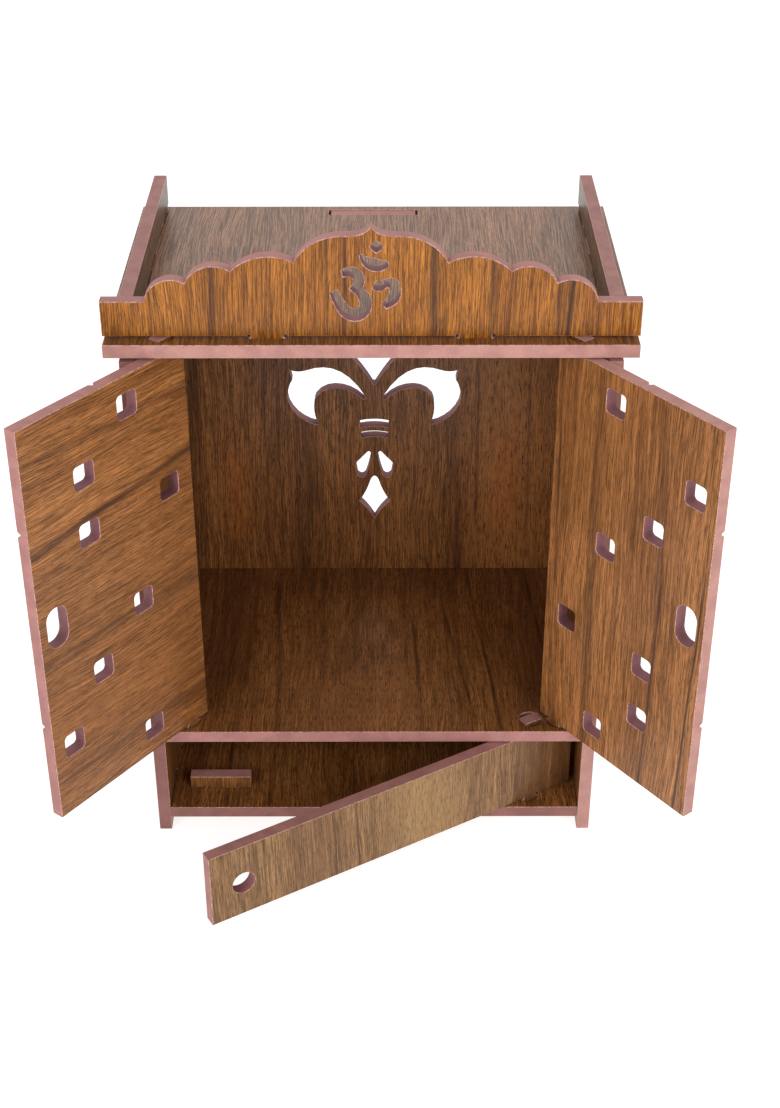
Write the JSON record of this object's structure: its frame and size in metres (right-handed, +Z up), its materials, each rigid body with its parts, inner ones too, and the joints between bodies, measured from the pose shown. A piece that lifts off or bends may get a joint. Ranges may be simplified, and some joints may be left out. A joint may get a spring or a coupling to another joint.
{
  "type": "household altar cabinet",
  "caption": "Small flat-pack household altar cabinet of laminated board with pivoting pierced doors, a swinging lower front and a scalloped crown.",
  "frame": {"origin": "on the floor, under the middle of the open cabinet's box (doors and lower front swung open)", "axes": "+X to the right seen from the front, +Y from the open front to the back panel, +Z up"},
  "size_m": [0.3806, 0.3144, 0.4158],
  "materials": {
    "laminate": "satin walnut-grain laminate, raw pinkish core at the cut edges",
    "pale_laminate": "satin walnut-grain laminate, paler stock"
  },
  "bodies": {
    "case": {"left_side_panel": "laminate", "right_side_panel": "laminate", "bottom_panel": "laminate", "shelf": "laminate", "stop_block": "laminate", "back_panel": "laminate", "roof_board": "laminate", "crown": "laminate", "left_roof_rail": "laminate", "right_roof_rail": "laminate"},
    "left_door": {"left_door": "laminate"},
    "right_door": {"right_door": "laminate"},
    "swing_front": {"swing_front": "pale_laminate"}
  },
  "joints": [
    {"name": "left_door_pivot", "type": "hinge", "parent": "case", "child": "left_door", "pos_m": [-0.1175, -0.0363, 0.211], "axis": [0, 0, -1], "range_deg": [-127, 2]},
    {"name": "right_door_pivot", "type": "hinge", "parent": "case", "child": "right_door", "pos_m": [0.1175, -0.0363, 0.211], "axis": [0, 0, 1], "range_deg": [-127, 2]},
    {"name": "swing_front_pivot", "type": "hinge", "parent": "case", "child": "swing_front", "pos_m": [0.1, -0.0348, 0.045], "axis": [0, 0, 1], "range_deg": [-31, 119]}
  ]
}
